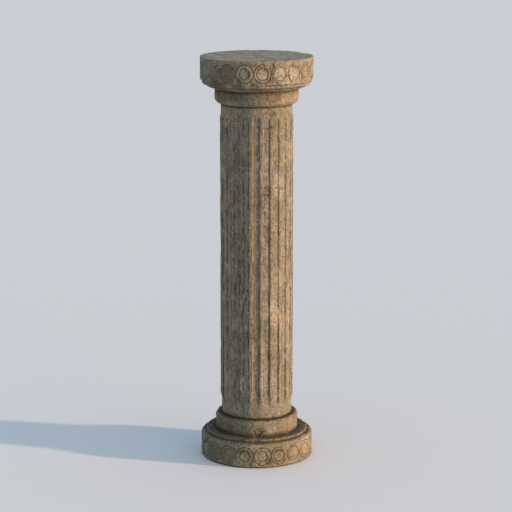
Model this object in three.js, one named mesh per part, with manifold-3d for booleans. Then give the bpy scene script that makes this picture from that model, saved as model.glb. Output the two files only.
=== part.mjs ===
// Carved stone pillar of three blocks: a round base, a ribbed shaft and a round capital.
// Millimetres, +Z up, origin in the middle of the underside, the front looking along -Y.
import * as THREE from 'three';
import { mergeVertices } from 'three/addons/utils/BufferGeometryUtils.js';
import Module from 'manifold-3d';

const wasm = await Module();
wasm.setup();

// The whole pillar
const totalHeight = 7500;
const bedGap = 0.3; // left between one block and the next

// Base block: plinth, low step and ring
const plinthRadius = 1044;
const plinthSide = 400; // upright part of the plinth's side
const plinthShoulder = 78; // height of the rounded shoulder above the side
const stepRadius = 948;
const stepHeight = 48;
const stepBatter = 8; // the step's side leans in by this
const baseRingRadius = 772;
const baseRingHeight = 300;
const baseRingFlare = 8; // the ring's side leans out by this from its foot to its rounded edge
const baseRingRounding = 60; // of the ring's upper edge

// Shaft block: a plain core with raised ribs, which leave the flat channels of the fluting
const coreRadius = 656; // at the foot
const neckRadius = 658; // at the head, under the capital
const ribCount = 22;
const ribReach = 680; // radius over the ribs at their foot
const ribTaper = 7; // less radius over the ribs at their head
const ribDepth = 32; // from the crown in to the root, which lies inside the core
const ribCrown = 48; // width of a rib's flat crown
const ribSlope = 22; // a rib widens by this on each side down to its root
const ribFootAbove = 262; // from the shaft's foot to the lowest point of a rib
const ribFootRun = 105; // height over which a rib rises out of the core
const ribHeadBelow = 195; // from the shaft's head to the highest point of a rib
const ribHeadRun = 60;
const ribSpare = 2; // above the crown, trimmed off to the rib's side view
const ribTurn = 7.25; // degrees from the front to the middle of the first rib

// Capital block: neck ring, stepped soffit and abacus
const neckRingRadius = 770;
const neckRingBevel = 112; // height of the rounded bevel under the ring
const neckRingSide = 162;
const soffitRise = 44;
const soffitRadius = 903; // where the soffit meets the lower fascia
const lowerFasciaHeight = 24;
const lowerFasciaLean = 22; // its side leans out by this
const ovoloHeight = 26;
const upperFasciaRadius = 1007; // at its upper edge
const upperFasciaHeight = 48;
const upperFasciaLean = 16;
const coveHeight = 14;
const coveReach = 10;
const abacusRadius = 1035;
const abacusSide = 415;
const abacusUnderBevel = 19;
const abacusTopBevel = 10;

// Bands of carved rings, cut round the plinth and round the abacus
const ringCount = 20;
const ringTurn = 5.5; // degrees from the front to the middle of the first ring
const ringSpacing = 6; // between a ring's outer groove and the middle of the gap to its neighbour
const ringBorder = 46; // width of the raised border between the outer and the inner groove
const ringStretch = 1.05; // a carved ring is this much taller than wide
const grooveWidth = 20;
const grooveDepth = 11;
const plinthBandFoot = 62; // plain stone below the rings of the plinth
const abacusBandLift = -25; // middle of the rings above the middle of the abacus's side

// Facets
const roundSides = 2 * ringCount; // of the base and the capital
const shaftSides = 2 * ribCount;
const ribEndSteps = 2; // in each quarter of a rib's round end
const outerGrooveSides = 10;
const innerGrooveSides = 8;

// Heights that follow from the sizes above
const baseHeight = plinthSide + plinthShoulder + stepHeight + baseRingHeight;
const soffitHeight = soffitRise + lowerFasciaHeight + ovoloHeight + upperFasciaHeight + coveHeight;
const capitalHeight = neckRingBevel + neckRingSide + soffitHeight + abacusUnderBevel + abacusSide;
const shaftFoot = baseHeight + bedGap;
const capitalFoot = totalHeight - capitalHeight;
const shaftHeight = capitalFoot - bedGap - shaftFoot;

const radians = THREE.MathUtils.degToRad;

// A quarter of an ellipse from one point of an outline to the next. It leaves the first point
// upright and reaches the second level, or the other way round.
function quarterRound([r0, z0], [r1, z1], steps, uprightFirst = true) {
  const points = [];
  for (let i = 1; i <= steps; i += 1) {
    const turn = (i / steps) * (Math.PI / 2);
    const across = uprightFirst ? 1 - Math.cos(turn) : Math.sin(turn);
    const along = uprightFirst ? Math.sin(turn) : 1 - Math.cos(turn);
    points.push([r0 + (r1 - r0) * across, z0 + (z1 - z0) * along]);
  }
  return points;
}

// A solid turned about the Z axis from an outline of [radius, height] points
function turned(outline, sides, firstAngle) {
  const points = outline.map(([r, z]) => new THREE.Vector2(r, z));
  const geometry = new THREE.LatheGeometry(points, sides);
  geometry.rotateX(Math.PI / 2);
  geometry.rotateZ(radians(firstAngle));
  return geometry;
}

function toSolid(geometry) {
  const plain = geometry.clone();
  plain.deleteAttribute('normal');
  plain.deleteAttribute('uv');
  const merged = mergeVertices(plain, 1e-3);
  const corners = [];
  const index = merged.index.array;
  for (let i = 0; i < index.length; i += 3) {
    const [a, b, c] = [index[i], index[i + 1], index[i + 2]];
    if (a !== b && b !== c && c !== a) {
      corners.push(a, b, c);
    }
  }
  return new wasm.Manifold(new wasm.Mesh({
    numProp: 3,
    vertProperties: new Float32Array(merged.attributes.position.array),
    triVerts: new Uint32Array(corners),
  }));
}

function toGeometry(solid) {
  const mesh = solid.getMesh();
  const geometry = new THREE.BufferGeometry();
  geometry.setAttribute('position', new THREE.Float32BufferAttribute(mesh.vertProperties, 3));
  geometry.setIndex(Array.from(mesh.triVerts));
  geometry.computeVertexNormals();
  return geometry;
}

// Base

function baseOutline() {
  const shoulderTop = plinthSide + plinthShoulder;
  const ledge = shoulderTop + stepHeight;
  const roundingFoot = baseHeight - baseRingRounding;
  return [
    [0, 0],
    [plinthRadius, 0],
    [plinthRadius, plinthSide],
    ...quarterRound([plinthRadius, plinthSide], [stepRadius, shoulderTop], 2),
    [stepRadius - stepBatter, ledge],
    [baseRingRadius - baseRingFlare, ledge],
    [baseRingRadius, roundingFoot],
    ...quarterRound([baseRingRadius, roundingFoot], [baseRingRadius - baseRingRounding, baseHeight], 2),
    [0, baseHeight],
  ];
}

// Shaft

function coreOutline() {
  return [
    [0, 0],
    [coreRadius, 0],
    [neckRadius, shaftHeight],
    [0, shaftHeight],
  ];
}

// A rib as it is seen from the front: a long crown with round ends and sloping sides. Its
// root lies inside the core.
function ribSeenFromFront(foot, head) {
  const half = ribCrown / 2;
  const low = foot + ribSlope + half;
  const high = head - ribSlope - half;
  const crown = new THREE.Shape();
  crown.absarc(0, high, half, 0, Math.PI, false);
  crown.absarc(0, low, half, Math.PI, 2 * Math.PI, false);
  crown.closePath();
  const body = new THREE.ExtrudeGeometry(crown, {
    depth: ribDepth,
    curveSegments: ribEndSteps,
    bevelThickness: ribDepth,
    bevelSize: ribSlope,
    bevelSegments: 1,
  });
  body.rotateX(Math.PI / 2);
  body.translate(0, 2 * ribDepth - ribReach - ribSpare, 0);
  return body;
}

// A rib as it is seen from the side: it rises out of the core, leans in with its taper and
// falls back to the core
function ribSeenFromSide(foot, head) {
  const root = ribReach - 2 * ribDepth;
  const width = 2 * (ribCrown + 2 * ribSlope);
  const side = new THREE.Shape([
    new THREE.Vector2(root, foot),
    new THREE.Vector2(coreRadius, foot),
    new THREE.Vector2(ribReach, foot + ribFootRun),
    new THREE.Vector2(ribReach - ribTaper, head - ribHeadRun),
    new THREE.Vector2(neckRadius, head),
    new THREE.Vector2(root, head),
  ]);
  const plate = new THREE.ExtrudeGeometry(side, { depth: width, bevelEnabled: false });
  plate.translate(0, 0, -width / 2);
  const out = new THREE.Vector3(0, -1, 0);
  const up = new THREE.Vector3(0, 0, 1);
  const across = new THREE.Vector3(-1, 0, 0);
  plate.applyMatrix4(new THREE.Matrix4().makeBasis(out, up, across));
  return plate;
}

function ribbedShaft() {
  const foot = ribFootAbove;
  const head = shaftHeight - ribHeadBelow;
  const rib = toSolid(ribSeenFromFront(foot, head)).intersect(toSolid(ribSeenFromSide(foot, head)));
  let shaft = toSolid(turned(coreOutline(), shaftSides, ribTurn));
  for (let i = 0; i < ribCount; i += 1) {
    const placed = toGeometry(rib);
    placed.rotateZ(radians(ribTurn) + (2 * Math.PI * i) / ribCount);
    shaft = shaft.add(toSolid(placed));
  }
  return shaft;
}

// Capital

function capitalOutline() {
  const ringTop = neckRingBevel + neckRingSide;
  const lowerFoot = ringTop + soffitRise;
  const lowerTop = lowerFoot + lowerFasciaHeight;
  const upperFoot = lowerTop + ovoloHeight;
  const upperTop = upperFoot + upperFasciaHeight;
  const coveTop = upperTop + coveHeight;
  const sideFoot = coveTop + abacusUnderBevel;
  return [
    [0, 0],
    [neckRadius, 0],
    ...quarterRound([neckRadius, 0], [neckRingRadius, neckRingBevel], 3, false),
    [neckRingRadius, ringTop],
    [soffitRadius, lowerFoot],
    [soffitRadius + lowerFasciaLean, lowerTop],
    [upperFasciaRadius - upperFasciaLean, upperFoot],
    [upperFasciaRadius, upperTop],
    [upperFasciaRadius + coveReach, coveTop],
    [abacusRadius, sideFoot],
    [abacusRadius, capitalHeight - abacusTopBevel],
    [abacusRadius - abacusTopBevel, capitalHeight],
    [0, capitalHeight],
  ];
}

// Carved rings

// One V-shaped circular groove, cut into a flat face at z = 0
function groove(radius, sides) {
  const cover = grooveDepth;
  const halfWidth = grooveWidth / 2;
  const coverHalf = halfWidth * (1 + cover / grooveDepth);
  const outline = [
    [radius, -grooveDepth],
    [radius + coverHalf, cover],
    [radius - coverHalf, cover],
    [radius, -grooveDepth],
  ];
  return toSolid(turned(outline, sides, 0));
}

// A sector of a round plate, which keeps a worn stretch of groove from being cut. Its angles
// run in degrees against the clock from the ring's right.
function wornSector(inner, outer, from, to) {
  const shape = new THREE.Shape();
  shape.absarc(0, 0, outer, radians(from), radians(to), false);
  shape.absarc(0, 0, inner, radians(to), radians(from), true);
  shape.closePath();
  const depth = 4 * grooveDepth;
  const plate = new THREE.ExtrudeGeometry(shape, { depth, bevelEnabled: false, curveSegments: 8 });
  plate.translate(0, 0, -depth / 2);
  return toSolid(plate);
}

// Lays a flat groove on an upright cylinder, facing out at this angle. The drop keeps the
// groove's sides flat between its ribs and its bottom at the full depth.
function layOnBand(geometry, bandRadius, grooveRadius, angle, height) {
  const position = geometry.attributes.position;
  for (let i = 0; i < position.count; i += 1) {
    const x = position.getX(i);
    const y = position.getY(i);
    const drop = (grooveRadius * x * x) / (2 * bandRadius * Math.hypot(x, y));
    position.setXYZ(i, x, drop - bandRadius - position.getZ(i), height + ringStretch * y);
  }
  geometry.rotateZ(radians(angle));
  return geometry;
}

// Outer radius of a carved ring: as large as its neighbours and the band's height let it be
function carvedRingRadius(bandRadius, bandHeight) {
  const room = Math.min((Math.PI * bandRadius) / ringCount, bandHeight / 2);
  return room - ringSpacing;
}

// Cuts the whole band. Each worn entry names a ring by its place to the right of the first,
// the groove that has weathered away, and the stretch of it.
function carveBand(solid, bandRadius, radius, height, worn) {
  const bite = grooveWidth * 1.5;
  const grooves = [
    { name: 'outer', radius, sides: outerGrooveSides },
    { name: 'inner', radius: radius - ringBorder, sides: innerGrooveSides },
  ];
  let carved = solid;
  for (let i = 0; i < ringCount; i += 1) {
    const angle = ringTurn + (360 * i) / ringCount;
    for (const cut of grooves) {
      let cutter = groove(cut.radius, cut.sides);
      for (const stretch of worn.filter((entry) => entry.ring === i && entry.groove === cut.name)) {
        const from = cut.radius - bite;
        const to = cut.radius + bite;
        cutter = cutter.subtract(wornSector(from, to, stretch.from, stretch.to));
      }
      const laid = layOnBand(toGeometry(cutter), bandRadius, cut.radius, angle, height);
      carved = carved.subtract(toSolid(laid));
    }
  }
  return carved;
}

const capitalWear = [
  { ring: 0, groove: 'outer', from: 20, to: 75 },
  { ring: 1, groove: 'outer', from: -105, to: 95 },
  { ring: 2, groove: 'outer', from: -110, to: 95 },
  { ring: 2, groove: 'inner', from: 125, to: 265 },
  { ring: 3, groove: 'outer', from: -80, to: 80 },
];

const baseWear = [
  { ring: 1, groove: 'outer', from: -30, to: 70 },
  { ring: 2, groove: 'outer', from: -110, to: 80 },
  { ring: 19, groove: 'outer', from: 170, to: 290 },
];

const stone = new THREE.MeshStandardMaterial({ color: 0x9c8567, roughness: 0.92, metalness: 0 });

function addBlock(group, name, solid, foot) {
  const mesh = new THREE.Mesh(toGeometry(solid), stone.clone());
  mesh.name = name;
  mesh.position.set(0, 0, foot);
  group.add(mesh);
}

const plinthRingRadius = carvedRingRadius(plinthRadius, 2 * plinthSide);
const abacusRingRadius = carvedRingRadius(abacusRadius, abacusSide);
const abacusRingHeight = capitalHeight - abacusSide / 2 + abacusBandLift;

const base = carveBand(
  toSolid(turned(baseOutline(), roundSides, ringTurn)),
  plinthRadius,
  plinthRingRadius,
  plinthBandFoot + ringStretch * plinthRingRadius,
  baseWear,
);
const capital = carveBand(
  toSolid(turned(capitalOutline(), roundSides, ringTurn)),
  abacusRadius,
  abacusRingRadius,
  abacusRingHeight,
  capitalWear,
);

const pillar = new THREE.Group();
addBlock(pillar, 'base', base, 0);
addBlock(pillar, 'shaft', ribbedShaft(), shaftFoot);
addBlock(pillar, 'capital', capital, capitalFoot);

export default pillar;
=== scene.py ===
from math import atan2, cos, degrees, hypot, pi, radians, sin

import bmesh
import bpy
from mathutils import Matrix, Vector, noise


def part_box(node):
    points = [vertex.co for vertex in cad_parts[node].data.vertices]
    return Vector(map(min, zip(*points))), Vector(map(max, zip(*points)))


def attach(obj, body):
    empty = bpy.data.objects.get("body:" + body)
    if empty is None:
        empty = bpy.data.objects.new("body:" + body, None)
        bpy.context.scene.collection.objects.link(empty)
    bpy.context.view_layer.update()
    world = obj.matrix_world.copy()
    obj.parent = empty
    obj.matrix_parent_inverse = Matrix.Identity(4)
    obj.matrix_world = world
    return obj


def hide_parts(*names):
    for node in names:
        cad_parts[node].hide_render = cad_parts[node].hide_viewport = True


# Weathered sandstone pillar of three blocks: base, ribbed shaft and capital.
# Metres, +Z up. Angles run in degrees from the front (-Y) towards +X.
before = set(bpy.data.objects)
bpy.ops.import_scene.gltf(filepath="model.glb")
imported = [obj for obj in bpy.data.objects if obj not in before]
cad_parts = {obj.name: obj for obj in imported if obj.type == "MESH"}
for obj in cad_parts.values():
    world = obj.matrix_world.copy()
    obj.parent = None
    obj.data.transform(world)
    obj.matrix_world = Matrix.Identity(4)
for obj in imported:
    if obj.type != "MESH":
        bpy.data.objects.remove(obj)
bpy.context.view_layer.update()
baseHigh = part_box("base")[1]
shaftLow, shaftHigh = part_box("shaft")
capitalLow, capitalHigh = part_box("capital")
print("frame loaded")

touch = 0.0005  # a point this near a face lies on it

# carved rings, the same on the plinth and on the abacus
ringBand = {
    "count": 20,
    "turn": 5.5,  # middle of the first ring
    "spacing": 0.006,  # from a ring's outer groove to the middle of the gap beside it
    "border": 0.046,  # between the outer and the inner groove
    "stretch": 1.05,  # a ring is this much taller than wide
    "grooveWidth": 0.027,
    "grooveDepth": 0.011,
    "dish": 0.005,  # the disc inside lies this much deeper
    "dishRun": 0.025,  # width over which the disc slopes down
    "sunkenDirtAndShade": 70,  # how much dirt and painted shade a sunken disc gets, for each metre that it is deeper still
    "fade": 12,  # degrees over which a worn groove comes back
    "wobble": 0.004,  # of the hand-cut line
    "spokes": 96,  # a cell's mesh goes round its ring in this many steps
}
ringPitch = 360 / ringBand["count"]
cellColumns = ringBand["spokes"] // 4


def clamp(value, low=0.0, high=1.0):
    return max(low, min(high, value))


def smooth(value, low, high):  # rises softly from 0 at low to 1 at high
    t = clamp((value - low) / (high - low))
    return t * t * (3 - 2 * t)


def patches(point, size, seed, octaves=3):  # about -1 to 1, in blotches of this size
    return noise.fractal(point / size + Vector((7.3, 3.1, 5.7)) * seed, 1.0, 2.0, octaves)


def placeAt(angle, radius, z):
    return Vector((radius * sin(radians(angle)), -radius * cos(radians(angle)), z))


def runTo(rows, end, gap):  # straight stretch of an outline, with a row about every gap
    radius, z = rows[-1]
    steps = max(1, round(hypot(end[0] - radius, end[1] - z) / gap))
    for i in range(1, steps + 1):
        t = i / steps
        rows.append((radius + (end[0] - radius) * t, z + (end[1] - z) * t))


def roundTo(rows, end, steps, uprightFirst=True):  # a quarter of an ellipse
    radius, z = rows[-1]
    for i in range(1, steps + 1):
        turn = i / steps * pi / 2
        across = 1 - cos(turn) if uprightFirst else sin(turn)
        along = sin(turn) if uprightFirst else 1 - cos(turn)
        rows.append((radius + (end[0] - radius) * across, z + (end[1] - z) * along))


# spins an outline through one sector, from this angle
def spinSector(bm, rows, columns, firstAngle, sectorAngle):
    verts = [bm.verts.new(placeAt(firstAngle, radius, z)) for radius, z in rows]
    edges = [bm.edges.new(pair) for pair in zip(verts, verts[1:])]
    bmesh.ops.spin(bm, geom=verts + edges, cent=(0, 0, 0), axis=(0, 0, 1),
                   angle=radians(sectorAngle), steps=columns)


# copies the one sector all the way round and closes the seams
def goRound(bm, sectors):
    bmesh.ops.spin(bm, geom=bm.verts[:] + bm.edges[:] + bm.faces[:], cent=(0, 0, 0), axis=(0, 0, 1),
                   angle=2 * pi * (sectors - 1) / sectors, steps=sectors - 1, use_duplicate=True)
    bmesh.ops.remove_doubles(bm, verts=bm.verts[:], dist=0.0002)
    bmesh.ops.recalc_face_normals(bm, faces=bm.faces[:])


def ringRadiusOf(bandRadius):  # of the outer groove, as far as its neighbours leave room
    return pi * bandRadius / ringBand["count"] - ringBand["spacing"]


# One cell of a band is a flat disc round its carved ring, whose rim is pushed out to a
# rectangle, and it is then bent to the block's roundness.
def addRingCell(bm, look):
    radius, height = look["ringRadius"], look["ringHeight"]
    inner = radius - ringBand["border"]
    half = ringBand["grooveWidth"] / 2
    loops = [inner * share for share in (0, 0.3, 0.55, 0.75)]
    loops += [inner + half * step for step in (-1.3, -0.75, -0.35, 0, 0.35, 0.75, 1.3)]
    loops += [(inner + radius) / 2]
    loops += [radius + half * step for step in (-1.3, -0.75, -0.35, 0, 0.4)]
    rimShares = (0.15, 0.4, 0.7, 1)  # how far each rim loop is pushed out to the rectangle
    rimGap = 0.05  # between the rim loops before they are pushed out
    lastLoop = loops[-1]
    rim = [lastLoop + rimGap * (i + 1) for i in range(len(rimShares))]
    cell = bmesh.new()
    verts = [cell.verts.new((r, 0, 0)) for r in loops + rim]
    edges = [cell.edges.new(pair) for pair in zip(verts, verts[1:])]
    spokes = ringBand["spokes"]
    bmesh.ops.spin(cell, geom=verts + edges, cent=(0, 0, 0), axis=(0, 0, 1),
                   angle=2 * pi, steps=spokes, use_merge=True)
    bmesh.ops.remove_doubles(cell, verts=cell.verts[:], dist=1e-5)
    width = pi * look["bandRadius"] / ringBand["count"]
    stretch = ringBand["stretch"]
    middle = ((look["bandFoot"] + look["bandTop"]) / 2 - height) / stretch
    tall = (look["bandTop"] - look["bandFoot"]) / 2 / stretch
    for vert in cell.verts:
        reach = vert.co.xy.length
        if reach < lastLoop + rimGap / 2:
            continue
        share = rimShares[round((reach - lastLoop) / rimGap) - 1]
        spoke = round(atan2(vert.co.y, vert.co.x) / (2 * pi) * spokes)
        side, along = divmod((spoke + spokes // 8) % spokes, spokes // 4)
        t = along / (spokes / 8) - 1
        sides = [(width, t * tall), (-t * width, tall), (-width, -t * tall), (t * width, -tall)]
        onRim = Vector((sides[side][0], sides[side][1] + middle, 0))
        onLoop = vert.co.normalized() * lastLoop
        vert.co = onLoop.lerp(onRim, share)
    for vert in cell.verts:
        angle = ringBand["turn"] + degrees(vert.co.x / look["bandRadius"])
        vert.co = placeAt(angle, look["bandRadius"], height + stretch * vert.co.y)
    bent = bpy.data.meshes.new("ringCell")
    cell.to_mesh(bent)
    cell.free()
    bm.from_mesh(bent)
    bpy.data.meshes.remove(bent)


def wornAway(look, ring, groove, turn):  # 1 where the groove has weathered away
    gone = 0.0
    for name, start, end in look["worn"].get(ring, ()):
        inside = (turn - start) % 360
        if name == groove and inside < end - start:
            gone = max(gone, smooth(min(inside, end - start - inside), 0, ringBand["fade"]))
    return gone


# depth of the rings' carving at a place on the band, and how much dirt and painted shade lie there
def ringCarving(look, angle, z, point):
    nearest = round((angle - ringBand["turn"]) / ringPitch)
    half = ringBand["grooveWidth"] / 2
    wobble = ringBand["wobble"] * patches(point, 0.09, 11, 2)
    depth, dirt = 0.0, 0.0
    for place in (nearest - 1, nearest, nearest + 1):
        ring = place % ringBand["count"]
        across = radians(angle - ringBand["turn"] - place * ringPitch) * look["bandRadius"]
        up = (z - look["ringHeight"]) / ringBand["stretch"]
        away = hypot(across, up) + wobble
        turn = degrees(atan2(up, across))
        inner = (look["ringRadius"] - ringBand["border"]) * look["innerShares"].get(ring, 1)
        for groove, radius in (("outer", look["ringRadius"]), ("inner", inner)):
            cut = 1 - abs(away - radius) / half
            if cut <= 0:
                continue
            left = 1 - wornAway(look, ring, groove, turn)
            # shallower here and there
            left *= 0.75 + 0.25 * smooth(patches(point, 0.2, 12, 2), -0.5, 0.1)
            depth = max(depth, ringBand["grooveDepth"] * cut ** 0.7 * left)
            dirt = max(dirt, cut * left)
        if place == nearest:
            deeper = look["sunken"].get(ring, 0)
            inside = smooth(inner - away, 0.0, ringBand["dishRun"])
            depth += (ringBand["dish"] + deeper) * inside
            dirt = max(dirt, ringBand["sunkenDirtAndShade"] * deeper * inside)
    return depth, dirt


def onBand(look, radius, z):  # whether a place lies on the carved band
    near = 2 * touch
    between = look["bandFoot"] - near < z < look["bandTop"] + near
    return between and radius > look["bandRadius"] - near


# the hand-dressed face: (size, depth, seed, octaves) of its slow unevenness, dents and grain
unevenness = [
    (0.45, 0.0018, 1, 2),
    (0.10, 0.0020, 2, 3),
    (0.03, 0.0012, 3, 2),
]
meanDepth = 0.0024
leastDepth = 0.0004  # weathering takes off at least this much
pits = {"size": 0.07, "depth": 0.03, "above": 0.42}  # a pit starts where its pattern is above this


def weathering(point, amount=1.0):
    depth = meanDepth
    for size, most, seed, octaves in unevenness:
        depth += most * patches(point, size, seed, octaves)
    depth += pits["depth"] * max(0.0, patches(point, pits["size"], 4, 2) - pits["above"])
    return max(leastDepth, depth * amount)


# edges are (radius, z, reach, depth): worn round all along and chipped here and there
def edgeWear(edges, radius, z, point):
    depth = 0.0
    for edgeRadius, edgeZ, reach, most in edges:
        near = 1 - hypot(radius - edgeRadius, z - edgeZ) / reach
        if near > 0:
            chipped = smooth(patches(point, 0.16, 5), 0.1, 0.5)
            chipped += 0.4 * smooth(patches(point, 0.05, 6, 2), 0.05, 0.5)
            depth = max(depth, near * most * (0.15 + chipped))
    return depth


# wounds are (angle, radius, z, size, depth): places where a piece has broken out
def woundDepth(wounds, point):
    depth = 0.0
    for angle, radius, z, size, most in wounds:
        near = 1 - (point - placeAt(angle, radius, z)).length / size
        if near > 0:
            rough = 0.7 + 0.9 * patches(point, 0.035, 7, 2)
            depth += most * smooth(near, 0, 0.7) * rough
    return max(0.0, depth)


# corners are (radius, z, reach): dirt and painted shade, 1 in such an inner corner, 0 out of its
# reach
def crevice(corners, radius, z):
    dirt = 0.0
    for cornerRadius, cornerZ, reach in corners:
        dirt = max(dirt, 1 - hypot(radius - cornerRadius, z - cornerZ) / reach)
    return dirt


# places are (angle, z, half width, half height): 1 well inside such a place, 0 from its rim on
def tinted(places, point, radius, angle):
    most = 0.0
    for middle, z, halfWidth, halfHeight in places:
        across = radians((angle - middle + 180) % 360 - 180) * radius
        most = max(most, 1 - hypot(across / halfWidth, (point.z - z) / halfHeight))
    return clamp(2 * most)


def finishBlock(bm, name, node, look, depthDirtAndShade):
    bm.normal_update()
    dirtAndShadeLayer = bm.verts.layers.float.new("dirt")
    tintLayers = [
        (bm.verts.layers.float.new(tint), places)
        for tint, places in look["tints"].items()
    ]
    for vert in bm.verts:
        point = vert.co.copy()
        radius = point.xy.length
        angle = degrees(atan2(point.x, -point.y))
        depth, dirt = depthDirtAndShade(point, radius, angle)
        vert[dirtAndShadeLayer] = clamp(dirt)
        for layer, places in tintLayers:
            vert[layer] = tinted(places, point, radius, angle)
        vert.co = point - vert.normal * depth
    bm.normal_update()
    mesh = bpy.data.meshes.new(name)
    bm.to_mesh(mesh)
    openEdges = sum(1 for edge in bm.edges if not edge.is_manifold)
    bm.free()
    mesh.shade_smooth()
    block = bpy.data.objects.new(name, mesh)
    bpy.context.scene.collection.objects.link(block)
    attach(block, "root")
    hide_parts(node)
    triangles = sum(len(face.vertices) - 2 for face in mesh.polygons)
    print(name, "made,", triangles, "triangles,", openEdges, "open edges")
    return block


baseLook = {
    "bandRadius": 1.042,
    "ringRadius": ringRadiusOf(1.044),  # of the rings cut in the solid band
    "bandFoot": 0.052,
    "bandTop": 0.404,
    "ringHeight": 0.228,
    "footRounding": 0.030,
    "stepRadius": 0.948,
    "stepFoot": 0.478,
    "stepTop": 0.526,
    "stepBatter": 0.008,
    "stepRounding": 0.010,
    "ringFootRadius": 0.764,  # of the plain ring that the shaft stands on
    "ringTopRadius": 0.772,
    "ringRounding": 0.060,
    "bedRadius": 0.655,  # of the bed that the shaft hides
    "shaftRadius": 0.656,  # at the shaft's foot
    # rings whose grooves have weathered away in part: groove, from, to; degrees against the clock
    "worn": {
        1: [("outer", -30, 70)],
        2: [("outer", -110, 80)],
        3: [("outer", -60, 60)],
        8: [("outer", 20, 160)],
        12: [("inner", 60, 150), ("outer", -40, 30)],
        19: [("outer", 170, 290)],
    },
    "innerShares": {0: 0.82, 1: 0.95, 2: 1.1, 19: 0.88},
    "sunken": {17: 0.003, 18: 0.003},
    "tints": {
        "moss": [(23.5, 0.225, 0.21, 0.21), (21, 0.46, 0.20, 0.09), (40, 0.50, 0.30, 0.05)],
        # pale patches, partly a painted highlight brightening the front
        "paleAndHighlight": [
            (-4, 0.39, 0.34, 0.08), (2, 0.58, 0.17, 0.14), (21, 0.64, 0.15, 0.12),
            (-14, 0.20, 0.16, 0.14), (6, 0.20, 0.20, 0.22), (-20, 0.08, 0.14, 0.07),
            (62, 0.30, 0.22, 0.24),
        ],
        "violet": [(-2, 0.49, 0.16, 0.05)],
        # painted shade on the shaded left side
        "paintedShade": [(-58, 0.66, 0.62, 0.20)],
        "lichen": [(-74, 0.22, 0.50, 0.40), (170, 0.30, 0.40, 0.30)],
        "brown": [
            (3, 0.63, 0.12, 0.10), (-16, 0.33, 0.10, 0.05), (13, 0.13, 0.10, 0.10),
            (24, 0.31, 0.10, 0.05),
        ],
        "cracked": [(2, 0.60, 0.24, 0.24), (14, 0.16, 0.20, 0.20), (-70, 0.30, 0.5, 0.3)],
    },
    "wounds": [
        (3, 0.770, 0.61, 0.15, 0.016),
        (1, 0.940, 0.520, 0.13, 0.022),
        (70, 0.940, 0.520, 0.075, 0.030),
        (-12, 1.042, 0.222, 0.03, 0.010),
        (-27, 1.000, 0.460, 0.09, 0.014),
        (150, 0.940, 0.526, 0.12, 0.030),
        (205, 1.046, 0.020, 0.16, 0.030),
        (262, 0.775, 0.780, 0.12, 0.022),
    ],
}


def makeBase(look):
    top = baseHigh.z
    bandRadius = look["bandRadius"]
    stepTop = look["stepTop"]
    lower = [(0, 0)]
    runTo(lower, (bandRadius - look["footRounding"], 0), 0.25)
    roundTo(lower, (bandRadius, look["footRounding"]), 4, False)
    runTo(lower, (bandRadius, look["bandFoot"]), 0.01)
    upper = [(bandRadius, look["bandTop"])]
    roundTo(upper, (look["stepRadius"], look["stepFoot"]), 12)
    edgeRadius = look["stepRadius"] - look["stepBatter"]
    runTo(upper, (edgeRadius, stepTop - look["stepRounding"]), 0.009)
    roundTo(upper, (edgeRadius - look["stepRounding"], stepTop), 3)
    runTo(upper, (look["ringFootRadius"], stepTop), 0.016)
    runTo(upper, (look["ringTopRadius"], top - look["ringRounding"]), 0.010)
    roundTo(upper, (look["ringTopRadius"] - look["ringRounding"], top), 7)
    runTo(upper, (look["bedRadius"], top), 0.016)
    runTo(upper, (0, top), 0.22)
    bm = bmesh.new()
    for rows in (lower, upper):
        spinSector(bm, rows, cellColumns, ringBand["turn"] - ringPitch / 2, ringPitch)
    addRingCell(bm, look)
    goRound(bm, ringBand["count"])
    edges = [
        (bandRadius, 0.0, 0.045, 0.020),
        (edgeRadius, stepTop, 0.030, 0.022),
        (look["ringTopRadius"], top, 0.055, 0.014),
    ]
    corners = [
        (look["ringFootRadius"], stepTop, 0.075),
        (look["stepRadius"], look["stepFoot"], 0.035),
        (look["shaftRadius"], top, 0.040),
        (bandRadius, 0.0, 0.050),
    ]

    def depthDirtAndShade(point, radius, angle):
        z = point.z
        # the underside and the bed under the shaft stay flat
        if z < touch and radius < bandRadius - 0.05:
            return 0.0, 0.0
        if z > top - touch and radius < look["shaftRadius"] + 2 * touch:
            return 0.0, 1.0
        depth, dirt = 0.0, 0.0
        if onBand(look, radius, z):
            depth, dirt = ringCarving(look, angle, z, point)
        depth += weathering(point) + edgeWear(edges, radius, z, point)
        depth += woundDepth(look["wounds"], point)
        return depth, max(dirt, crevice(corners, radius, z))

    return finishBlock(bm, "baseStone", "base", look, depthDirtAndShade)


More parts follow.
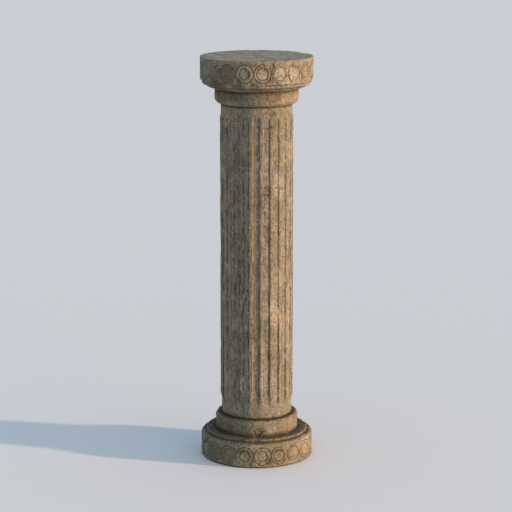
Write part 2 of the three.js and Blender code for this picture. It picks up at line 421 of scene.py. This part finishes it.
shaftLook = {
    "coreRadius": 0.655,  # at the foot
    "neckRadius": 0.657,  # at the head
    "ribs": 22,
    "ribTurn": 7.25,
    "ribHeight": 0.023,
    "ribTaper": 0.008,  # less height at the head
    "crown": 0.048,  # width of a rib's crown
    "slope": 0.017,  # from the crown down to the core
    "ribFootAbove": 0.262,
    "ribFootRun": 0.105,
    "ribHeadBelow": 0.195,
    "ribHeadRun": 0.060,
    "ribEnd": 0.12,  # share of its height at which a rib sets in
    "chipReach": 0.022,  # from the edge of a crown
    "dirtReach": 0.020,  # width of the dirt and painted shade from the foot of a rib's slope
    "footDirt": 0.050,  # height of the dirt and painted shade round the foot
    "headDirt": 0.040,
    "channelDepth": 0.003,  # the channels between the ribs are cut in this far
    "columnsAStretch": 4,  # on half a crown, on a slope and on half a channel
    "tints": {
        # painted highlight: a warm, lighter strip down the rib crown that the low sun grazes
        "sunlitStrip": [(-5.5, 3.6, 0.075, 4.0)],
        # painted shade on the shaded left side
        "paintedShade": [(-25, 3.7, 0.30, 3.2)],
        # painted shade colour: brown along the slopes of two lit ribs that the low sun leaves in
        # shadow
        "shadowedSlope": [(20.6, 3.75, 0.032, 3.2), (37.0, 3.75, 0.02, 3.2)],
        "brown": [
            (20.5, 5.04, 0.05, 0.14), (34, 4.90, 0.04, 0.12), (16, 4.42, 0.08, 0.10),
            (20.5, 2.45, 0.04, 0.14), (20.5, 2.03, 0.045, 0.24), (120, 4.6, 0.1, 0.2),
            (200, 3.1, 0.1, 0.3), (290, 4.0, 0.1, 0.2),
        ],
        "violet": [(-3, 1.06, 0.05, 0.16), (20, 3.35, 0.05, 0.3)],
        "moss": [
            (-11, 5.85, 0.13, 0.55), (-12, 4.3, 0.08, 1.2), (44, 6.45, 0.24, 0.45),
            (50, 1.35, 0.14, 0.60), (3.5, 2.2, 0.05, 2.6),
        ],
        # the first is a painted highlight beside the sunlit rib crown; the rest are pale patches
        "paleAndHighlight": [
            (-10.5, 3.6, 0.03, 4.0), (9, 1.55, 0.10, 0.30), (-23, 1.50, 0.07, 0.18),
            (30, 2.9, 0.16, 0.35), (38, 5.2, 0.14, 0.30),
        ],
        "cracked": [
            (25, 4.90, 0.45, 0.45), (14, 4.27, 0.25, 0.25), (20, 2.15, 0.40, 0.20),
            (20, 6.40, 0.25, 0.30), (118, 3.5, 0.4, 0.8), (215, 5.2, 0.5, 0.6),
            (258, 2.3, 0.4, 0.7),
        ],
    },
}


def makeShaft(look):
    foot, head = shaftLow.z, shaftHigh.z
    ribFoot, ribHead = foot + look["ribFootAbove"], head - look["ribHeadBelow"]
    ribPitch = 360 / look["ribs"]
    crownHalf = look["crown"] / 2
    ribHalf = crownHalf + look["slope"]
    pitchHalf = pi * look["coreRadius"] / look["ribs"]
    marks = (0, crownHalf, ribHalf, pitchHalf)
    perStretch = look["columnsAStretch"]
    ribColumns = 2 * 3 * perStretch

    def coreAt(z):
        t = (z - foot) / (head - foot)
        return look["coreRadius"] + (look["neckRadius"] - look["coreRadius"]) * t

    rows = [(0, foot), (coreAt(foot), foot)]
    # levels, and the gap between the rows on the way to each
    stops = [
        (ribFoot - 0.01, 0.024),
        (ribFoot + look["ribFootRun"] + 0.02, 0.0115),
        (ribHead - look["ribHeadRun"] - 0.03, 0.0365),
        (ribHead + 0.01, 0.0115),
        (head, 0.026),
    ]
    for z, gap in stops:
        runTo(rows, (coreAt(z), z), gap)
    rows.append((0, head))
    bm = bmesh.new()
    spinSector(bm, rows, ribColumns, look["ribTurn"] - ribPitch / 2, ribPitch)

    # the columns are gathered at the rib's edges
    midway = look["coreRadius"] / 2  # only a bed's middle point lies within this
    for vert in bm.verts:
        radius = vert.co.xy.length
        if radius < midway:
            continue
        turned = degrees(atan2(vert.co.x, -vert.co.y)) - look["ribTurn"]
        column = round(turned / ribPitch * ribColumns)
        stretch, rest = divmod(abs(column), perStretch)
        place = marks[stretch]
        if rest:
            place += (marks[stretch + 1] - place) * rest / perStretch
        side = 1 if column > 0 else -1
        angle = look["ribTurn"] + side * degrees(place / look["coreRadius"])
        vert.co = placeAt(angle, radius, vert.co.z)
    goRound(bm, look["ribs"])

    low, high = ribFoot + ribHalf, ribHead - ribHalf

    def depthDirtAndShade(point, radius, angle):
        z = point.z
        if radius < midway:
            return 0.0, 0.0
        rib = round((angle - look["ribTurn"]) / ribPitch)
        across = radians(angle - look["ribTurn"] - rib * ribPitch) * look["coreRadius"]
        away = hypot(across, max(0.0, low - z, z - high))
        rise = clamp((ribHalf - away) / look["slope"])
        rise = min(rise, clamp((z - ribFoot) / look["ribFootRun"] + look["ribEnd"]))
        rise = min(rise, clamp((ribHead - z) / look["ribHeadRun"] + look["ribEnd"]))
        height = look["ribHeight"] - look["ribTaper"] * (z - foot) / (head - foot)
        onEdge = 1 - clamp(abs(abs(across) - crownHalf) / look["chipReach"])
        ribSeed = Vector((rib * 3.7, 0, z))
        chipped = smooth(patches(point, 0.11, 21, 3), 0.12, 0.5) * onEdge
        worn = 0.35 * smooth(patches(ribSeed, 0.5, 22, 3), 0.1, 0.7)
        height *= rise * (1 - 0.8 * chipped) * (1 - worn)
        besideRibs = smooth(rise + (low < z < high), 0, 0.4)
        dirt = clamp(1 - abs(abs(across) - ribHalf) / look["dirtReach"])
        dirt *= smooth(patches(point, 0.14, 23), -0.35, 0.4)
        dirt *= 0.85 - 0.2 * sin(radians(angle))  # painted shade: stronger on the side turned away from the sun
        dirt *= besideRibs
        dirt = max(dirt, 1 - (z - foot) / look["footDirt"], 1 - (head - z) / look["headDirt"])
        channel = smooth(abs(across), ribHalf - 0.01, ribHalf + 0.01)
        hollow = look["channelDepth"] * channel * besideRibs
        return weathering(point, 0.9) + hollow - height, dirt

    return finishBlock(bm, "shaftStone", "shaft", look, depthDirtAndShade)


capitalLook = {
    "bandRadius": 1.034,
    "ringRadius": ringRadiusOf(1.035),  # of the rings cut in the solid band
    "bandFoot": 7.087,
    "bandTop": 7.488,
    "topRounding": 0.011,
    "ringHeight": 7.268,
    "neckRadius": 0.658,
    "neckRingRadius": 0.770,
    "neckRingBevel": 0.112,
    "neckRingSide": 0.162,
    "soffitRise": 0.044,
    "soffitRadius": 0.903,
    "lowerFascia": (0.925, 6.978),  # radius and level of its upper edge
    "upperFasciaFoot": (0.990, 7.004),
    "upperFascia": (1.006, 7.052),
    "cove": (1.016, 7.066),
    "fasciaCorner": (0.940, 6.982),  # corner above the lower fascia, darkened with dirt and painted shade
    "lines": (7.001, 7.055),  # levels of the two cut lines
    "linesBeyond": 0.980,  # radius from which on they are cut
    "lineWidth": 0.024,
    "lineDepth": 0.013,
    "crispFrom": (-20, 10),  # angles over which the worn lines grow crisp
    "crispTo": (120, 160),  # and over which they fade again
    "worn": {
        0: [("outer", 20, 75)],
        1: [("outer", -105, 95)],
        2: [("outer", -110, 95), ("inner", 125, 265)],
        3: [("outer", -80, 80)],
        7: [("outer", 100, 200)],
        11: [("outer", -60, 20), ("inner", 30, 100)],
        14: [("outer", 150, 260)],
    },
    "innerShares": {0: 0.95, 1: 1.08, 2: 1.06, 18: 1.12, 19: 0.84},
    "sunken": {18: 0.006, 17: 0.004, 16: 0.002},
    "tints": {
        "moss": [(24, 6.84, 0.27, 0.17), (30, 6.70, 0.18, 0.10), (55, 6.86, 0.20, 0.10)],
        "paleAndHighlight": [
            (-12, 7.28, 0.18, 0.18), (5, 7.25, 0.14, 0.14), (-10, 7.07, 0.14, 0.06),
            (24, 7.26, 0.20, 0.18), (35, 7.20, 0.24, 0.30), (4, 7.05, 0.20, 0.06),
        ],
        "violet": [(-17, 6.83, 0.14, 0.07)],
        # painted shade on the shaded side and under the overhang
        "paintedShade": [(-62, 6.86, 0.85, 0.24), (-42, 7.02, 0.95, 0.12), (-5, 7.02, 0.30, 0.05)],
        "lichen": [(-74, 7.28, 0.50, 0.35), (150, 7.25, 0.30, 0.30)],
        "brown": [
            (-8, 7.27, 0.045, 0.08), (15, 7.42, 0.08, 0.06), (15, 7.15, 0.06, 0.07),
            (-18, 7.16, 0.07, 0.06), (16, 6.83, 0.32, 0.15),
        ],
        "cracked": [(14, 7.40, 0.22, 0.16), (24, 6.80, 0.24, 0.16)],
    },
    "wounds": [
        (-4, 1.032, 7.075, 0.060, 0.030),
        (15, 1.034, 7.420, 0.060, 0.012),
        (-16, 0.770, 6.830, 0.130, 0.006),
        (120, 1.034, 7.480, 0.140, 0.030),
        (190, 1.020, 7.100, 0.140, 0.030),
        (236, 0.768, 6.750, 0.110, 0.018),
        (305, 1.033, 7.490, 0.110, 0.022),
    ],
}


def makeCapital(look):
    foot, top = capitalLow.z, capitalHigh.z
    bandRadius = look["bandRadius"]
    neckRing = look["neckRingRadius"]
    ringFoot = foot + look["neckRingBevel"]
    ringTop = ringFoot + look["neckRingSide"]
    lower = [(0, foot)]
    runTo(lower, (look["neckRadius"], foot), 0.22)
    roundTo(lower, (neckRing, ringFoot), 10, False)
    runTo(lower, (neckRing, ringTop), 0.011)
    runTo(lower, (look["soffitRadius"], ringTop + look["soffitRise"]), 0.012)
    runTo(lower, look["lowerFascia"], 0.009)
    runTo(lower, look["upperFasciaFoot"], 0.010)
    runTo(lower, look["upperFascia"], 0.0055)
    runTo(lower, look["cove"], 0.0055)
    runTo(lower, (bandRadius, look["bandFoot"]), 0.007)
    upper = [(bandRadius, look["bandTop"])]
    roundTo(upper, (bandRadius - look["topRounding"], top), 3)
    for radius, gap in ((0.90, 0.013), (0.60, 0.030), (0, 0.060)):  # finest near the rim
        runTo(upper, (radius, top), gap)
    bm = bmesh.new()
    for rows in (lower, upper):
        spinSector(bm, rows, cellColumns, ringBand["turn"] - ringPitch / 2, ringPitch)
    addRingCell(bm, look)
    goRound(bm, ringBand["count"])
    edges = [
        (bandRadius, top, 0.035, 0.014),
        (bandRadius, look["bandFoot"], 0.030, 0.020),
        (look["soffitRadius"], ringTop + look["soffitRise"], 0.025, 0.012),
        (neckRing, ringTop, 0.030, 0.010),
    ]
    corners = [
        (look["neckRadius"], foot, 0.050),
        (neckRing, ringTop, 0.060),
        (*look["fasciaCorner"], 0.030),
    ]

    def depthDirtAndShade(point, radius, angle):
        z = point.z
        # the bed on the shaft stays flat
        if z < foot + touch and radius < look["neckRadius"] - 4 * touch:
            return 0.0, 0.0
        depth, dirt = 0.0, 0.0
        if onBand(look, radius, z):
            depth, dirt = ringCarving(look, angle, z, point)
        for line in look["lines"]:
            cut = 1 - abs(z - line) / (look["lineWidth"] / 2)
            if cut > 0 and radius > look["linesBeyond"]:
                crisp = smooth(angle, *look["crispFrom"]) * (1 - smooth(angle, *look["crispTo"]))
                crisp = 0.35 + 0.65 * crisp
                depth = max(depth, look["lineDepth"] * cut * crisp)
                dirt = max(dirt, cut * crisp)
        calmer = smooth(radius, -0.1, 0.5)  # in the middle of the top
        depth += weathering(point) * calmer + edgeWear(edges, radius, z, point)
        depth += woundDepth(look["wounds"], point)
        return depth, max(dirt, crevice(corners, radius, z))

    return finishBlock(bm, "capitalStone", "capital", look, depthDirtAndShade)


def linear(hexColour):  # sRGB hex to the linear colour a shader takes
    parts = [int(hexColour[i:i + 2], 16) / 255 for i in (1, 3, 5)]
    mixed = [part / 12.92 if part <= 0.04045 else ((part + 0.055) / 1.055) ** 2.4 for part in parts]
    return mixed + [1]


# links go by a socket's name or number: of MapRange, 1 and 2 are the range it reads and 4 its
# highest answer; of Mix, 6 and 7 are the two colours
def addNode(tree, kind, links=None, **settings):
    node = tree.nodes.new("ShaderNode" + kind)
    for name, value in settings.items():
        setattr(node, name, value)
    for name, value in (links or {}).items():
        if isinstance(value, bpy.types.NodeSocket):
            tree.links.new(value, node.inputs[name])
        else:
            node.inputs[name].default_value = value
    return node


maskLayers = (
    "dirt", "paintedShade", "moss", "sunlitStrip", "violet", "lichen", "paleAndHighlight", "brown", "cracked", "shadowedSlope",
)
gritSize = 9  # millimetres: grains drawn larger than sand, so that they show at all
lumpSize = 34


# Sandstone, dressed and carved by hand and long weathered: a matt, sandy face, mottled from
# grey and tan to brown, with moss, lichen, pale specks, streaks, fine cracks and small pits,
# dark dirt with painted shade in the cuts and corners, painted shade over the shaded side and
# in sun-shadowed rib slopes, and painted highlights on sunlit parts.
# Each stain is a blotch pattern laid over the ones before it. size and along are a blotch's
# real width and height in millimetres, low and high where it starts and is full, and where
# is the mask that keeps it to its own places.
def weatheredSandstone(name, look):
    material = bpy.data.materials.new(name)
    material.use_nodes = True
    tree = material.node_tree
    tree.nodes.clear()
    coordinates = addNode(tree, "TexCoord")
    place = coordinates.outputs["Object"]
    up = addNode(tree, "SeparateXYZ", {0: coordinates.outputs["Normal"]}).outputs["Z"]
    masks = {"top": addNode(tree, "MapRange", {0: up, 1: 0.75, 2: 0.95}).outputs[0]}
    for mask in maskLayers:
        masks[mask] = addNode(tree, "Attribute", attribute_name=mask).outputs["Fac"]
    colour = addNode(tree, "RGB")
    colour.outputs[0].default_value = linear(look["stone"])
    colour = colour.outputs[0]
    for number, stain in enumerate(look["stains"]):
        across = 1000 / stain["size"]
        along = 1000 / stain.get("along", stain["size"])
        moved = addNode(tree, "Mapping", {
            "Vector": place,
            "Location": [number * 3.7 + 1.3] * 3,  # so that no two stains share a pattern
            "Scale": (across, across, along),
        }).outputs[0]
        blotch = addNode(tree, "TexNoise", {
            "Vector": moved,
            "Scale": 1.0,
            "Detail": stain.get("detail", 4),
            "Roughness": stain.get("rough", 0.55),
        }).outputs[0]
        if "vein" in stain:  # a thin line where the pattern passes its middle value
            blotch = addNode(tree, "Math", {0: blotch, 1: 0.5}, operation="SUBTRACT").outputs[0]
            blotch = addNode(tree, "Math", {0: blotch}, operation="ABSOLUTE").outputs[0]
        spread = {0: blotch, 1: stain["low"], 2: stain["high"], 4: stain["amount"]}
        amount = addNode(tree, "MapRange", spread, interpolation_type="SMOOTHSTEP").outputs[0]
        if "where" in stain:
            kept = {0: amount, 1: masks[stain["where"]]}
            amount = addNode(tree, "Math", kept, operation="MULTIPLY").outputs[0]
        colour = addNode(tree, "Mix", {0: amount, 6: colour, 7: linear(stain["colour"])},
                         data_type="RGBA").outputs[2]
    colour = addNode(tree, "Mix", {0: 1.0, 6: colour, 7: (*look["tone"], 1)},
                     data_type="RGBA", blend_type="MULTIPLY").outputs[2]
    grains = {"Vector": place, "Scale": 1000 / gritSize, "Detail": 2.0}
    grit = addNode(tree, "TexNoise", grains).outputs[0]
    hollows = {"Vector": place, "Scale": 1000 / lumpSize, "Detail": 3.0}
    lumps = addNode(tree, "TexNoise", hollows).outputs[0]
    both = {0: lumps, 1: 2.5, 2: grit}  # the lumps stand out more than the grit
    relief = addNode(tree, "Math", both, operation="MULTIPLY_ADD").outputs[0]
    bump = addNode(tree, "Bump", {
        "Height": relief,
        "Strength": look["relief"],
        "Distance": 0.004,
    }).outputs[0]
    shader = addNode(tree, "BsdfPrincipled", {
        "Base Color": colour,
        "Normal": bump,
        "Roughness": 0.93,
        "IOR": 1.5,
        "Specular IOR Level": 0.25,
    }).outputs[0]
    addNode(tree, "OutputMaterial", {"Surface": shader})
    return material


mottles = [
    {"colour": "#716b5c", "size": 420, "low": 0.42, "high": 0.62, "amount": 0.55},
    {"colour": "#93806f", "size": 350, "low": 0.50, "high": 0.62, "amount": 0.60},
    {"colour": "#8d8158", "size": 300, "low": 0.53, "high": 0.64, "amount": 0.38},
    {"colour": "#a79980", "size": 260, "low": 0.50, "high": 0.66, "amount": 0.50},
    {"colour": "#5d5549", "size": 75, "low": 0.52, "high": 0.66, "amount": 0.65, "rough": 0.7},
    {"colour": "#b7ac9a", "size": 60, "low": 0.55, "high": 0.70, "amount": 0.60, "rough": 0.7},
    {"colour": "#3b3429", "size": 24, "low": 0.56, "high": 0.66, "amount": 0.80},
    {"colour": "#c0bbab", "size": 26, "low": 0.62, "high": 0.70, "amount": 0.70},
    {"colour": "#40362a", "size": 330, "low": 0.010, "high": 0.003, "amount": 0.55,
     "vein": True, "detail": 6},
]
streaks = [
    {"colour": "#56574c", "size": 42, "along": 480, "low": 0.50, "high": 0.64, "amount": 0.70},
    {"colour": "#a39077", "size": 38, "along": 360, "low": 0.54, "high": 0.66, "amount": 0.65},
    {"colour": "#666950", "size": 110, "along": 600, "low": 0.54, "high": 0.68, "amount": 0.50},
]
# painted shade: darkens the shaded side and the shade under the capital's overhang
paintedShadeWash = {
    "colour": "#4a463a", "size": 160, "along": 320, "low": 0.28, "high": 0.56, "where": "paintedShade",
}
# dark streaks and light flecks, kept to the painted-shade places on the shaded side
streaksInPaintedShade = [
    {"colour": "#35362d", "size": 32, "along": 300, "low": 0.50, "high": 0.62, "amount": 0.60,
     "where": "paintedShade"},
    {"colour": "#97968a", "size": 24, "along": 70, "low": 0.58, "high": 0.67, "amount": 0.60,
     "where": "paintedShade"},
]
# local stains, with painted light among them: highlights on sunlit parts, and shade with the dirt
# in cuts and corners
localStainsAndPaintedLight = [
    # painted highlight, warm: the strip down the sunlit rib crown
    {"colour": "#967b60", "size": 50, "along": 140, "low": 0.30, "high": 0.54, "amount": 0.60,
     "where": "sunlitStrip"},
    {"colour": "#736b46", "size": 60, "low": 0.38, "high": 0.60, "amount": 0.70,
     "where": "moss"},
    {"colour": "#6d5e6a", "size": 70, "low": 0.36, "high": 0.60, "amount": 0.50,
     "where": "violet"},
    {"colour": "#86928f", "size": 44, "low": 0.42, "high": 0.58, "amount": 0.60,
     "where": "lichen"},
    # pale stone, and painted highlights on the shaft's sunlit crown and the base's front
    {"colour": "#b3a896", "size": 45, "low": 0.40, "high": 0.60, "amount": 0.70,
     "where": "paleAndHighlight"},
    {"colour": "#523f2b", "size": 42, "low": 0.40, "high": 0.58, "amount": 0.75,
     "where": "brown"},
    {"colour": "#463218", "size": 420, "low": 0.017, "high": 0.006, "amount": 0.80,
     "vein": True, "detail": 5, "where": "cracked"},
    # dirt and painted shade in the cuts, grooves, corners and hollows
    {"colour": "#3d2d18", "size": 50, "low": 0.15, "high": 0.48, "amount": 0.90,
     "where": "dirt"},
]
# painted shade colour: a brown wash in the rib slopes that lie in the sun's shadow
shadowedSlopeWash = {
    "colour": "#6b4f33", "size": 60, "along": 200, "low": 0.30, "high": 0.56, "amount": 0.50,
    "where": "shadowedSlope",
}
# dirt and painted shade on the base's up-facing ledges
ledgeDirtAndShade = {
    "colour": "#4b4a44", "size": 150, "low": 0.18, "high": 0.50, "amount": 0.85, "where": "top",
}
bearingFace = [
    {"colour": "#919389", "size": 150, "low": 0.20, "high": 0.50, "amount": 0.85,
     "where": "top"},
    {"colour": "#938471", "size": 230, "low": 0.48, "high": 0.57, "amount": 0.75,
     "where": "top"},
    {"colour": "#6e787b", "size": 260, "low": 0.50, "high": 0.58, "amount": 0.80,
     "where": "top"},
    {"colour": "#aaa99e", "size": 170, "low": 0.56, "high": 0.64, "amount": 0.75,
     "where": "top"},
]

shaftSandstone = {
    "stone": "#877e6f",
    "tone": (0.95, 0.94, 0.91),
    "relief": 0.7,
    "stains": (streaks + mottles + [{**paintedShadeWash, "amount": 0.15}] + streaksInPaintedShade + localStainsAndPaintedLight
               + [shadowedSlopeWash]),
}
baseSandstone = {
    "stone": "#8a8376",
    "tone": (0.82, 0.77, 0.67),
    "relief": 0.7,
    "stains": mottles + [ledgeDirtAndShade, {**paintedShadeWash, "amount": 0.60}] + localStainsAndPaintedLight,
}
capitalSandstone = {
    "stone": "#8a8274",
    "tone": (0.95, 0.90, 0.82),
    "relief": 0.7,
    "stains": mottles + bearingFace + [{**paintedShadeWash, "amount": 0.65}] + localStainsAndPaintedLight,
}

for maker, blockLook, stoneName, stoneLook in (
    (makeBase, baseLook, "weatheredSandstoneBase", baseSandstone),
    (makeShaft, shaftLook, "weatheredSandstoneShaft", shaftSandstone),
    (makeCapital, capitalLook, "weatheredSandstoneCapital", capitalSandstone),
):
    block = maker(blockLook)
    block.data.materials.append(weatheredSandstone(stoneName, stoneLook))
print("sandstone laid")

lighting = {
    "skyColour": (0.44, 0.56, 0.69),  # linear: open shade under a clear sky
    "sunColour": (1.0, 0.70, 0.48),
    # azimuth, elevation, strength and degrees across; the wide one is the bright sky by the sun
    "lamps": {
        "sun": (75.7, 9.0, 5.6, 2.5),
        "glow": (50.0, 12.0, 0.60, 45.0),
    },
    "floorRadius": 250.0,
    "floorColour": (0.78, 0.78, 0.77),
}


def makeFloorAndLights(look):
    bm = bmesh.new()
    bmesh.ops.create_circle(bm, cap_ends=True, segments=64, radius=look["floorRadius"])
    mesh = bpy.data.meshes.new("floor")
    bm.to_mesh(mesh)
    bm.free()
    floor = bpy.data.objects.new("floor", mesh)
    bpy.context.scene.collection.objects.link(floor)
    paint = bpy.data.materials.new("mattFloorPaint")
    paint.use_nodes = True
    shader = paint.node_tree.nodes["Principled BSDF"]
    shader.inputs["Base Color"].default_value = (*look["floorColour"], 1)
    shader.inputs["Roughness"].default_value = 1.0
    shader.inputs["Specular IOR Level"].default_value = 0.0
    mesh.materials.append(paint)

    for name, (azimuth, elevation, strength, spread) in look["lamps"].items():
        light = bpy.data.lights.new(name, "SUN")
        light.energy = strength
        light.color = look["sunColour"]
        light.angle = radians(spread)
        lamp = bpy.data.objects.new(name, light)
        towards = placeAt(azimuth, cos(radians(elevation)), sin(radians(elevation)))
        lamp.rotation_euler = towards.to_track_quat("Z", "Y").to_euler()
        bpy.context.scene.collection.objects.link(lamp)

    world = bpy.data.worlds.new("sky")
    world.use_nodes = True
    sky = world.node_tree.nodes["Background"]
    sky.inputs["Color"].default_value = (*look["skyColour"], 1)
    bpy.context.scene.world = world


makeFloorAndLights(lighting)
bpy.context.scene.view_settings.view_transform = "Standard"
print("floor and lights set")

# the photograph's view: a long lens, well above the pillar's middle and looking down
viewPoint = {"back": 34.50, "aside": -0.0125, "height": 11.069, "pitch": 11.924, "lens": 133.8}
cameraData = bpy.data.cameras.new("camera")
cameraData.lens = viewPoint["lens"]
cameraData.sensor_width = 36.0
cameraData.clip_end = 1000.0
camera = bpy.data.objects.new("camera", cameraData)
camera.location = (viewPoint["aside"], -viewPoint["back"], viewPoint["height"])
camera.rotation_euler = (radians(90 - viewPoint["pitch"]), 0, 0)
bpy.context.scene.collection.objects.link(camera)
bpy.context.scene.camera = camera
print("camera set")
